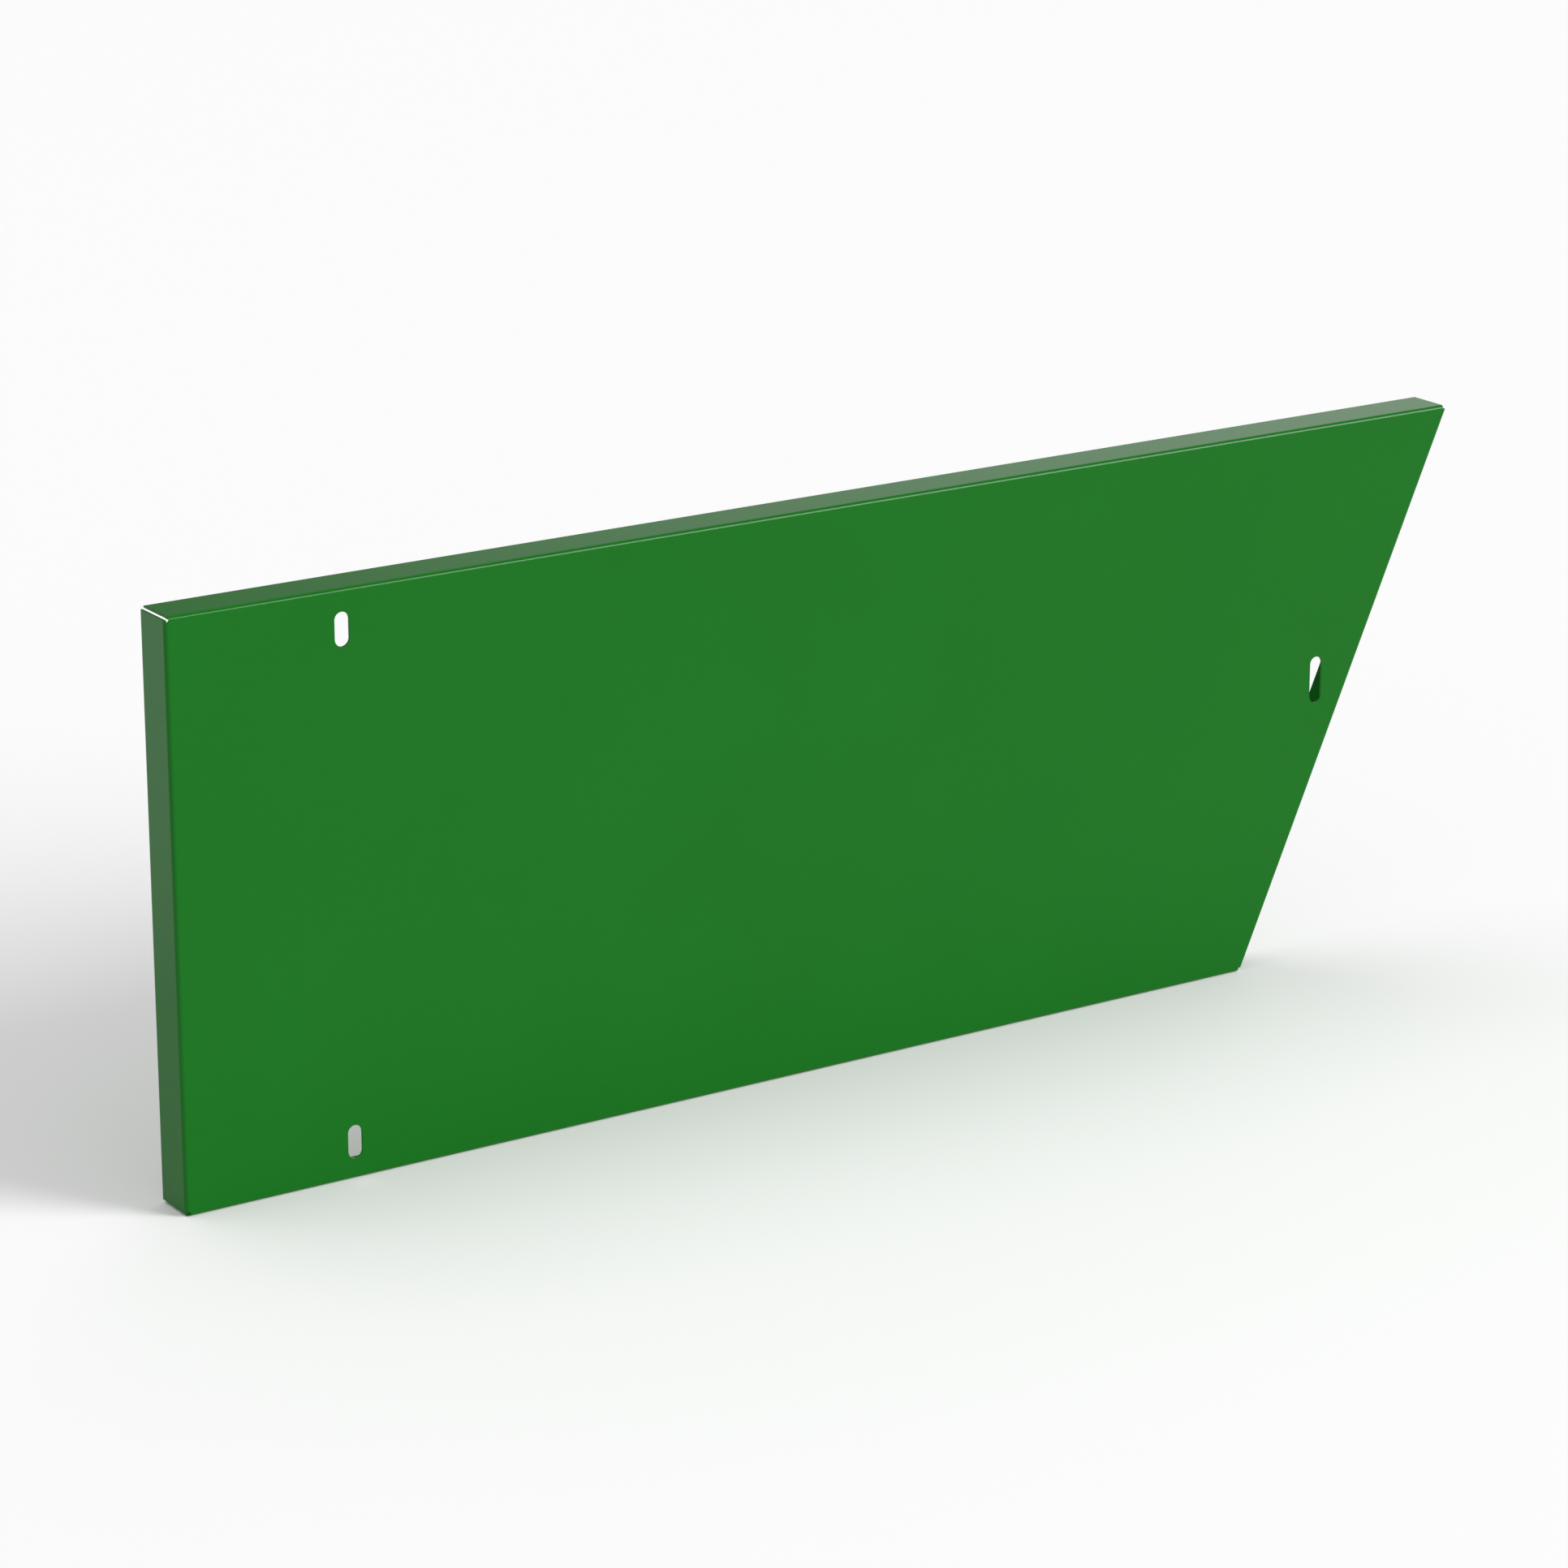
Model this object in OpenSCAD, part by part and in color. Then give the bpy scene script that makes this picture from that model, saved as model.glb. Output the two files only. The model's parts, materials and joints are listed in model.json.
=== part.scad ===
// Folded sheet side panel with one slanted end and three vertical bolt slots.
// X runs along the panel, +Y goes into its open back, +Z is up. The outer face lies on y = 0,
// and the origin is the middle of the line between the two slots at the square end.

/* [Outline] */
// Height from the bottom flange to the top flange, outside
panel_height = 350; // [250:5:500]
// Length along the top edge, outside
top_length = 908; // [600:1:1400]
// How much shorter the bottom edge is than the top edge
slant_run = 155.5; // [60:0.5:200]

/* [Sheet and flanges] */
// Sheet thickness
sheet_t = 1.2; // [1:0.1:2.5]
// Radius inside each bend
inner_bend_r = 1.2; // [0.5:0.1:2]
// Depth of the flanges behind the outer face
flange_depth = 28.5; // [15:0.5:50]

/* [Square corners] */
// How far the flanges stop short of each other
square_trim = 0.6; // [0.2:0.1:2]
// Side of the square relief, turned through 45 degrees, that is cut in the bends
relief_w = 2; // [1:0.1:3]
// How far the relief runs in past the point where the bend lines cross
relief_overrun = 0.2; // [0.1:0.05:1]

/* [Slanted corners] */
// How far the gap between the flanges runs in past the point where the bend lines cross
gap_overrun = 0.3; // [0.1:0.05:1]
// How far the top flange stops short of the slanted flange
top_trim = 1.75; // [0.2:0.05:3]
// How far the slanted flange stops short of the top flange
slanted_top_trim = 1.1; // [0.2:0.05:3]
// How far the slanted flange stops short of the bottom flange
slanted_bottom_trim = 1.65; // [0.2:0.05:3]
// How far the bottom flange stops short of the slanted flange
bottom_trim = 1.2; // [0.2:0.05:3]

/* [Slots at the square end] */
// Width of every slot
slot_w = 9; // [5:0.5:14]
// Length of the two slots at the square end, end to end
pair_slot_l = 20; // [16:0.5:30]
// Distance of both slots from the square end
pair_inset = 109; // [40:1:200]
// Height of the lower slot's centre above the bottom flange
lower_slot_h = 22.5; // [21:0.5:60]
// Drop of the upper slot's centre below the top flange
upper_slot_drop = 23.5; // [21:0.5:60]

/* [Slot at the slanted end] */
// Length of the slot at the slanted end, end to end
end_slot_l = 30; // [16:0.5:60]
// Level distance from that slot's centre to the slanted edge
end_slot_inset = 28.2; // [20:0.1:80]
// Height of that slot's centre above the middle of the panel
end_slot_rise = 10; // [-60:1:60]

/* [Hidden] */
$fn = 64;

panel_green = [0.14, 0.45, 0.16];
outer_bend_r = inner_bend_r + sheet_t;
bottom_length = top_length - slant_run;
relief_depth = outer_bend_r + relief_overrun - relief_w / sqrt(8);   // of its centre, from both edges
past = 1;                                    // how far a cutter runs past what it cuts
reach = 2 * (top_length + panel_height);     // longer than any edge of the panel

// Outer corners of the front view, clockwise from the lower square corner, as [x, z]
corners = [[0, 0], [0, panel_height], [top_length, panel_height], [bottom_length, 0]];
// Trim at each corner of the flange that starts there, and of the flange that ends there
start_trims = [square_trim, square_trim, slanted_top_trim, bottom_trim];
end_trims = [square_trim, square_trim, top_trim, slanted_bottom_trim];

pair_mid_h = (lower_slot_h + panel_height - upper_slot_drop) / 2;
end_slot_h = panel_height / 2 + end_slot_rise;
end_slot_x = slant_x(end_slot_h) - end_slot_inset;

// Where the slanted edge stands at a given height
function slant_x(h) = top_length - slant_run * (1 - h / panel_height);

function corner(i) = corners[(i + 4) % 4];
// Direction from one corner to the next
function along(i) = (corner(i + 1) - corner(i)) / norm(corner(i + 1) - corner(i));
// Level direction from an edge into the panel
function inward(i) = [along(i)[1], -along(i)[0]];
// Angle between the two edges that meet at a corner
function corner_angle(i) = acos(-along(i - 1) * along(i));
// Distance from a corner, along either edge, to a line that lies at the given depth from both
function run_to_depth(i, depth) = depth / tan(corner_angle(i) / 2);
// Distance from a corner to the flange that starts there, and to the flange that ends there
function start_setback(i) = run_to_depth(i, sheet_t) + start_trims[i];
function end_setback(i) = run_to_depth(i, sheet_t) + end_trims[i];
// Points on the outer edges of a corner where its two flanges begin and end
function start_point(i) = corner(i) + start_setback(i) * along(i);
function end_point(i) = corner(i) - end_setback(i) * along(i - 1);
// Point that lies at the given depth from both edges of a corner
function deep_point(i, depth) = corner(i) + run_to_depth(i, depth) * along(i) + depth * inward(i);
// Point a little past b on the line from a to b
function beyond(a, b) = b + past * (b - a) / norm(b - a);

// Draws children, given in front view as [x, z], as a solid from y = from to y = to
module through(from, to) {
    translate([0, to, 0]) rotate([90, 0, 0]) linear_extrude(to - from) children();
}

// Everything on the inner side of one edge, with a round of radius r between side and front
module edge_side(i, inset, r, back) {
    start = corner(i);
    side = reach - r;
    translate([start[0], 0, start[1]])
        rotate([0, atan2(along(i)[0], along(i)[1]), 0])
            translate([inset, inset, -reach])
                linear_extrude(2 * reach) {
                    translate([r, 0]) square([side, back - inset]);
                    translate([0, r]) square([reach, back - inset - r]);
                    translate([r, r]) circle(r);
                }
}

// Solid block with the panel's outline and rounded front edges
module block(inset, r, back) {
    intersection_for(i = [0 : 3]) edge_side(i, inset, r, back);
}

// Gap between the two flanges of a corner, in to the given point, with sides that run straight on
// past the outer edges
module corner_gap(i, tip) {
    through(-past, flange_depth + past)
        polygon([
            corner(i) - past * (inward(i - 1) + inward(i)),
            beyond(tip, start_point(i)),
            tip,
            beyond(tip, end_point(i))
        ]);
}

// Square corner: both flanges end in a square cut, and a relief opens the bends in front of them
module square_corner(i) {
    corner_gap(i, start_point(i) + end_setback(i) * inward(i));
    through(-past, outer_bend_r)
        translate(deep_point(i, relief_depth))
            rotate(45)
                square(relief_w, center = true);
}

// Corner of the slanted end: the gap runs in a little way past the two bends
module slanted_corner(i) {
    corner_gap(i, deep_point(i, outer_bend_r + gap_overrun));
}

// Upright slot with round ends, through the face
module slot(x, h, length) {
    straight = length - slot_w;
    through(-past, sheet_t + past) translate([x, h]) {
        square([slot_w, straight], center = true);
        for (end = [-1, 1]) translate([0, end * straight / 2]) circle(slot_w / 2);
    }
}

// One blank folded back along all four edges, open behind and at its corners
module side_panel() {
    color(panel_green)
        translate([-pair_inset, 0, -pair_mid_h])
            difference() {
                block(0, outer_bend_r, flange_depth);
                block(sheet_t, inner_bend_r, flange_depth + past);
                for (i = [0, 1]) square_corner(i);
                for (i = [2, 3]) slanted_corner(i);
                slot(pair_inset, lower_slot_h, pair_slot_l);
                slot(pair_inset, panel_height - upper_slot_drop, pair_slot_l);
                slot(end_slot_x, end_slot_h, end_slot_l);
            }
}

side_panel();
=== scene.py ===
"""Looks of the folded side panel: one powder-coated sheet, bent back along its four edges."""
import json
import math

import bmesh
import bpy
from mathutils import Matrix, Vector


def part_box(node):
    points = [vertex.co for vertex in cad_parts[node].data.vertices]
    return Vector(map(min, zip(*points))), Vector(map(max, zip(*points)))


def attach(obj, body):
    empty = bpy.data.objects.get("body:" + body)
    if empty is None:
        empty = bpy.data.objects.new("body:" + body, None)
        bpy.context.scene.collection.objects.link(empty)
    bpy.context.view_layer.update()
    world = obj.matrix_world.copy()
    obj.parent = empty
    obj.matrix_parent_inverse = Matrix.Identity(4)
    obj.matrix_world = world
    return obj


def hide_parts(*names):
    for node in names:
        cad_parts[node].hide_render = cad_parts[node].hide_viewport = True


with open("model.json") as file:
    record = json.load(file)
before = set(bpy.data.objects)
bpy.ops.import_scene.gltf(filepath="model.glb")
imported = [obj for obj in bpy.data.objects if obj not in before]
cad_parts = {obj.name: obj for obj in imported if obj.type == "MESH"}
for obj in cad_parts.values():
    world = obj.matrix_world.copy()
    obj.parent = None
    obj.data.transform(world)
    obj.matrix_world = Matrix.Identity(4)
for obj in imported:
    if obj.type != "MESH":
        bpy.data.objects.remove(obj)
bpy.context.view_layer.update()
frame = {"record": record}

MM = 0.001

# ---------------------------------------------------------------- sizes of the sheet, in metres
SHEET_T = 1.2 * MM
BEND_R = 2.4 * MM                # outside of every bend
TOP_LENGTH = 908.0 * MM          # of the upper edge, between its sharp outer corners
SLANT_RUN = 155.5 * MM           # how much shorter the lower edge is
SQUARE_END = 1.8 * MM            # from a square corner to the ends of its two flanges
RELIEF_W = 2.0 * MM              # square relief in the bends, turned through 45 degrees
RELIEF_INSET = 1.9 * MM          # from both edges to its centre
TOP_FLANGE_END = 3.6 * MM        # these four run along the outer edges, from the upper or lower
SLANT_FLANGE_TOP = 2.95 * MM     # slanted corner to the end of the flange they name
SLANT_FLANGE_FOOT = 2.43 * MM
BOTTOM_FLANGE_END = 1.98 * MM
GAP_DEPTH = BEND_R + 0.3 * MM    # how far in the gap of a slanted corner runs
EDGE_ROUND = 0.22 * MM           # the coat rounds every cut edge by this much
FACE_MARGIN = 0.55 * MM          # strip of narrow faces beside each cut and bend of the flat face
SAME_POINT = 0.001 * MM
BEND_STEPS = 14                  # faces round each quarter bend
SLOT_STEPS = 20                  # edges round each end of a slot

low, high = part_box("side_panel")
mounts = {m["name"]: m for m in frame["record"]["mounts"]}


# ---------------------------------------------------------------- outline of the panel, in X and Z
class Corner:
    """An outer corner of the front view, with the edge that starts there, clockwise."""

    def __init__(self, x, z):
        self.at = Vector((x, 0, z))

    def join(self, before, after):
        self.along = (after.at - self.at).normalized()
        self.back = (before.at - self.at).normalized()
        self.inward = Vector((self.along.z, 0, -self.along.x))
        self.angle = self.along.angle(self.back)

    def run_to_depth(self, depth):
        """Distance from the corner, along either edge, to a line at that depth from both."""
        return depth / math.tan(self.angle / 2)

    def deep_point(self, depth):
        return self.at + self.along * self.run_to_depth(depth) + self.inward * depth


def panel_corners():
    top_right = low.x + TOP_LENGTH
    corners = [
        Corner(low.x, low.z),
        Corner(low.x, high.z),
        Corner(top_right, high.z),
        Corner(top_right - SLANT_RUN, low.z),
    ]
    for i, corner in enumerate(corners):
        corner.join(corners[i - 1], corners[(i + 1) % 4])
    return corners


def square_run(depth):
    """Distance along an edge from its square corner to the metal, at a given depth in from the edge."""
    return max(SQUARE_END, RELIEF_INSET + RELIEF_W / math.sqrt(2) - abs(depth - RELIEF_INSET))


def slanted_run(corner, at_edge):
    """The same at a corner of the slanted end, where the gap's side is one straight line."""
    deep = corner.run_to_depth(GAP_DEPTH)
    return lambda depth: at_edge + (deep - at_edge) * depth / GAP_DEPTH


# ---------------------------------------------------------------- mesh of the panel
def slot_loop(bm, centre, width, length):
    """Outline of an upright slot with round ends."""
    radius = width / 2
    rise = Vector((0, 0, length / 2 - radius))
    first = bm.verts.new(centre + rise + Vector((radius, 0, 0)))
    verts = [first]
    for middle in (centre + rise, centre - rise):
        arc = bmesh.ops.spin(
            bm, geom=[verts[-1]], cent=middle, axis=(0, -1, 0), angle=math.pi, steps=SLOT_STEPS,
            use_merge=False, use_duplicate=False,
        )
        verts.append(arc["geom_last"][0])
        if middle.z > centre.z:
            side = bmesh.ops.extrude_vert_indiv(bm, verts=[verts[-1]])["verts"]
            bmesh.ops.translate(bm, verts=side, vec=-2 * rise)
            verts.append(side[0])
    bm.edges.new((verts[-1], first))


def flange(bm, corner, after, start_run, end_run):
    """Bends the sheet back along one edge and carries it on as a flat flange."""
    length = (after.at - corner.at).length

    def place(run, from_end):
        return (length - run if from_end else run) * corner.along

    line = corner.at + corner.inward * BEND_R
    start = bm.verts.new(line + place(start_run(BEND_R), False))
    end = bm.verts.new(line + place(end_run(BEND_R), True))
    edge = bm.edges.new((start, end))
    pivot = line + Vector((0, BEND_R, 0))
    row = [edge]
    for step in range(1, BEND_STEPS + 1):
        turned = bmesh.ops.extrude_edge_only(bm, edges=row)["geom"]
        verts = [g for g in turned if isinstance(g, bmesh.types.BMVert)]
        bmesh.ops.rotate(
            bm, verts=verts, cent=pivot,
            matrix=Matrix.Rotation(math.pi / 2 / BEND_STEPS, 3, -corner.along),
        )
        depth = BEND_R * (1 - math.sin(step * math.pi / 2 / BEND_STEPS))
        for v in verts:
            now = (v.co - corner.at).dot(corner.along)
            from_end = now > length / 2
            run = (end_run if from_end else start_run)(depth)
            v.co += place(run, from_end) - corner.along * now
        edges = [g for g in turned if isinstance(g, bmesh.types.BMEdge)]
        row = [e for e in edges if all(v in verts for v in e.verts)]
    flat = bmesh.ops.extrude_edge_only(bm, edges=row)["geom"]
    verts = [g for g in flat if isinstance(g, bmesh.types.BMVert)]
    bmesh.ops.translate(bm, verts=verts, vec=(0, high.y - BEND_R, 0))
    return edge


def panel_mesh():
    """The outer skin of the sheet: four flanges, then the flat face between them and its slots."""
    bm = bmesh.new()
    corners = panel_corners()
    upper_slanted, lower_slanted = corners[2:]
    runs = [
        (square_run, square_run),
        (square_run, slanted_run(upper_slanted, TOP_FLANGE_END)),
        (slanted_run(upper_slanted, SLANT_FLANGE_TOP), slanted_run(lower_slanted, SLANT_FLANGE_FOOT)),
        (slanted_run(lower_slanted, BOTTOM_FLANGE_END), square_run),
    ]
    fold_lines = [
        flange(bm, corner, corners[(i + 1) % 4], *runs[i]) for i, corner in enumerate(corners)
    ]
    for i, corner in enumerate(corners):
        before = max(fold_lines[i - 1].verts, key=lambda v: v.co.dot(corners[i - 1].along))
        after = min(fold_lines[i].verts, key=lambda v: v.co.dot(corner.along))
        if corner in (upper_slanted, lower_slanted):
            tip = bm.verts.new(corner.deep_point(GAP_DEPTH))
            bm.edges.new((before, tip))
            bm.edges.new((tip, after))
        else:
            bm.edges.new((before, after))
    for name in ("pair_slots", "end_slot"):
        dims = mounts[name]["dims"]
        centre = Vector(mounts[name]["pos_m"])
        spread = dims["spacing_y_mm"] * MM / 2
        for rise in sorted({-spread, spread}):
            slot_loop(
                bm, centre + Vector((0, 0, rise)), 2 * dims["hole_r_mm"] * MM, dims["slot_length_mm"] * MM
            )
    bmesh.ops.remove_doubles(bm, verts=bm.verts, dist=SAME_POINT)
    rims = [e for e in bm.edges if all(abs(v.co.y) < SAME_POINT for v in e.verts)]
    filled = bmesh.ops.triangle_fill(
        bm, use_beauty=True, use_dissolve=False, edges=rims, normal=(0, -1, 0),
    )
    bmesh.ops.inset_region(
        bm, faces=[g for g in filled["geom"] if isinstance(g, bmesh.types.BMFace)],
        thickness=FACE_MARGIN, use_boundary=True, use_even_offset=True, use_interpolate=False,
    )
    bmesh.ops.recalc_face_normals(bm, faces=bm.faces)
    mesh = bpy.data.meshes.new("coated_panel")
    bm.to_mesh(mesh)
    bm.free()
    return mesh


def coated_panel():
    """The skin given its thickness inwards, with every cut edge rounded by the coat."""
    panel = bpy.data.objects.new("coated_panel", panel_mesh())
    bpy.context.scene.collection.objects.link(panel)
    sheet = panel.modifiers.new("sheet", "SOLIDIFY")
    sheet.thickness = SHEET_T
    sheet.offset = -1
    sheet.use_even_offset = True
    rounding = panel.modifiers.new("rounded_cuts", "BEVEL")
    rounding.width = EDGE_ROUND
    rounding.segments = 3
    rounding.profile = 0.5
    rounding.limit_method = "ANGLE"
    rounding.angle_limit = math.radians(40)
    rounding.use_clamp_overlap = True
    panel.data.shade_smooth()
    panel.modifiers.new("flat_faces_stay_flat", "WEIGHTED_NORMAL").keep_sharp = False
    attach(panel, "root")
    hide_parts("side_panel")
    return panel


# ---------------------------------------------------------------- shader wiring
class Socket:
    """A shader output that takes part in Python arithmetic, one Math node for each operator."""

    def __init__(self, tree, socket):
        self.tree = tree
        self.socket = socket

    def _math(self, operation, *values):
        return self.tree.node("ShaderNodeMath", {"operation": operation}, dict(enumerate(values)))["Value"]

    def __add__(self, other):
        return self._math("ADD", self, other)

    def __sub__(self, other):
        return self._math("SUBTRACT", self, other)

    def __rsub__(self, other):
        return self._math("SUBTRACT", other, self)

    def __mul__(self, other):
        return self._math("MULTIPLY", self, other)

    __radd__ = __add__
    __rmul__ = __mul__


class Tree:
    """Node tree of a new material or world."""

    def __init__(self, owner):
        owner.use_nodes = True
        self.nodes = owner.node_tree.nodes
        self.links = owner.node_tree.links
        self.nodes.clear()

    def node(self, kind, settings=None, values=None):
        """A new node with its settings and socket values; returns its outputs by name."""
        made = self.nodes.new(kind)
        for name, value in (settings or {}).items():
            if name == "stops":
                self._stops(made.color_ramp, value)
            else:
                setattr(made, name, value)
        for name, value in (values or {}).items():
            if isinstance(value, Socket):
                self.links.new(value.socket, made.inputs[name])
            else:
                made.inputs[name].default_value = value
        return {out.name: Socket(self, out) for out in made.outputs if out.enabled}

    @staticmethod
    def _stops(ramp, stops):
        while len(ramp.elements) < len(stops):
            ramp.elements.new(1.0)
        for element, (position, colour) in zip(ramp.elements, stops):
            element.position = position
            element.color = (*colour, 1.0)


# ---------------------------------------------------------------- materials
COAT_GREEN = (0.0012, 0.127, 0.0046)
COAT_GREEN_DEEP = (0.0011, 0.121, 0.0043)
FLOOR_WHITE = (0.91, 0.91, 0.91, 1)


def powder_coat():
    """Semi-gloss powder coat: even green, faint clouds in the build-up, fine orange peel."""
    material = bpy.data.materials.new("powder_coat")
    tree = Tree(material)
    place = tree.node("ShaderNodeTexCoord")["Object"]

    def noise(scale, detail):
        return tree.node(
            "ShaderNodeTexNoise", {}, {"Vector": place, "Scale": scale, "Detail": detail, "Roughness": 0.5}
        )["Fac"]

    clouds = noise(scale=9.0, detail=3.0)
    peel = noise(scale=420.0, detail=1.0)
    grain = noise(scale=2600.0, detail=1.0)
    colour = tree.node(
        "ShaderNodeValToRGB", {"stops": [(0.3, COAT_GREEN_DEEP), (0.7, COAT_GREEN)]}, {"Fac": clouds}
    )["Color"]
    bump = tree.node(
        "ShaderNodeBump", {},
        {"Height": peel * 0.8 + grain * 0.2, "Strength": 0.30, "Distance": 0.06 * MM},
    )["Normal"]
    shader = tree.node(
        "ShaderNodeBsdfPrincipled", {},
        {
            "Base Color": colour,
            "Roughness": 0.13 + clouds * 0.03 + grain * 0.03,
            "IOR": 1.27,
            "Normal": bump,
        },
    )["BSDF"]
    tree.node("ShaderNodeOutputMaterial", {}, {"Surface": shader})
    return material


def pale_floor_finish():
    material = bpy.data.materials.new("pale_floor")
    tree = Tree(material)
    shader = tree.node(
        "ShaderNodeBsdfPrincipled", {}, {"Base Color": FLOOR_WHITE, "Roughness": 0.9}
    )["BSDF"]
    tree.node("ShaderNodeOutputMaterial", {}, {"Surface": shader})
    return material


# ---------------------------------------------------------------- studio
def direction(x, y, z):
    return Vector((x, y, z)).normalized()


AIM = Vector((0.2940, 0.0, 0.0112))        # on the outer face, near its middle
VIEW_AZIMUTH = math.radians(33.568)
VIEW_ELEVATION = math.radians(17.406)
VIEW_DISTANCE = 3.093
LENS = 119.98                              # mm, on a sensor 36 mm wide
FLOOR_HALF_WIDTH = 12.0
SKY_LEVEL = 0.55                           # of the sky, where the floor in full light is about 1
HORIZON_LEVEL = 1.0
GLOW_LEFT = 0.15                           # of the sky behind the panel, at the left and the right
GLOW_RIGHT = 0.92


def camera():
    data = bpy.data.cameras.new("camera")
    data.lens = LENS
    data.sensor_width = 36.0
    data.clip_start = 0.05
    data.clip_end = 100.0
    made = bpy.data.objects.new("camera", data)
    back = Vector((
        -math.sin(VIEW_AZIMUTH) * math.cos(VIEW_ELEVATION),
        -math.cos(VIEW_AZIMUTH) * math.cos(VIEW_ELEVATION),
        math.sin(VIEW_ELEVATION),
    ))
    made.location = AIM + back * VIEW_DISTANCE
    made.rotation_euler = (math.pi / 2 - VIEW_ELEVATION, 0, -VIEW_AZIMUTH)
    bpy.context.scene.collection.objects.link(made)
    bpy.context.scene.camera = made


def soft_sun(name, towards, spread, level):
    """Distant light, spread degrees wide; level is the white it gives a surface turned to it."""
    data = bpy.data.lights.new(name, "SUN")
    data.angle = math.radians(spread)
    data.energy = level * math.pi
    lamp = bpy.data.objects.new(name, data)
    lamp.rotation_mode = "QUATERNION"
    lamp.rotation_quaternion = towards.to_track_quat("Z", "Y")
    bpy.context.scene.collection.objects.link(lamp)


def floor():
    bm = bmesh.new()
    bmesh.ops.create_grid(bm, x_segments=1, y_segments=1, size=FLOOR_HALF_WIDTH)
    bmesh.ops.translate(bm, verts=bm.verts, vec=(AIM.x, 0, low.z))
    mesh = bpy.data.meshes.new("floor")
    bm.to_mesh(mesh)
    bm.free()
    mesh.materials.append(pale_floor_finish())
    made = bpy.data.objects.new("floor", mesh)
    bpy.context.scene.collection.objects.link(made)


def sky():
    """Even sky that pales to the horizon; behind the panel it grows brighter from left to right."""
    world = bpy.data.worlds.new("studio")
    bpy.context.scene.world = world
    tree = Tree(world)
    towards = tree.node("ShaderNodeTexCoord")["Generated"]
    part = tree.node("ShaderNodeSeparateXYZ", {}, {"Vector": towards})

    def ramp(value, start, end, first=0.0, last=1.0):
        return tree.node(
            "ShaderNodeMapRange", {},
            {"Value": value, "From Min": start, "From Max": end, "To Min": first, "To Max": last},
        )["Result"]

    glow = ramp(part["X"], 0.40, 0.66, GLOW_LEFT, GLOW_RIGHT)
    behind = ramp(part["Y"], 0.3, 0.6) * ramp(part["Z"], 0.62, 0.50)
    above = SKY_LEVEL + behind * (glow - SKY_LEVEL)
    level = above + ramp(part["Z"], 0.18, 0.04) * (HORIZON_LEVEL - above)
    background = tree.node(
        "ShaderNodeBackground", {}, {"Color": (1, 1, 1, 1), "Strength": level}
    )["Background"]
    tree.node("ShaderNodeOutputWorld", {}, {"Surface": background})


panel = coated_panel()
panel.data.materials.append(powder_coat())
camera()
floor()
sky()
soft_sun("key", towards=direction(0.62, -0.67, 0.41), spread=30, level=0.86)
soft_sun("over", towards=direction(-0.10, 0.25, 0.96), spread=40, level=0.20)
bpy.context.scene.view_settings.view_transform = "Standard"
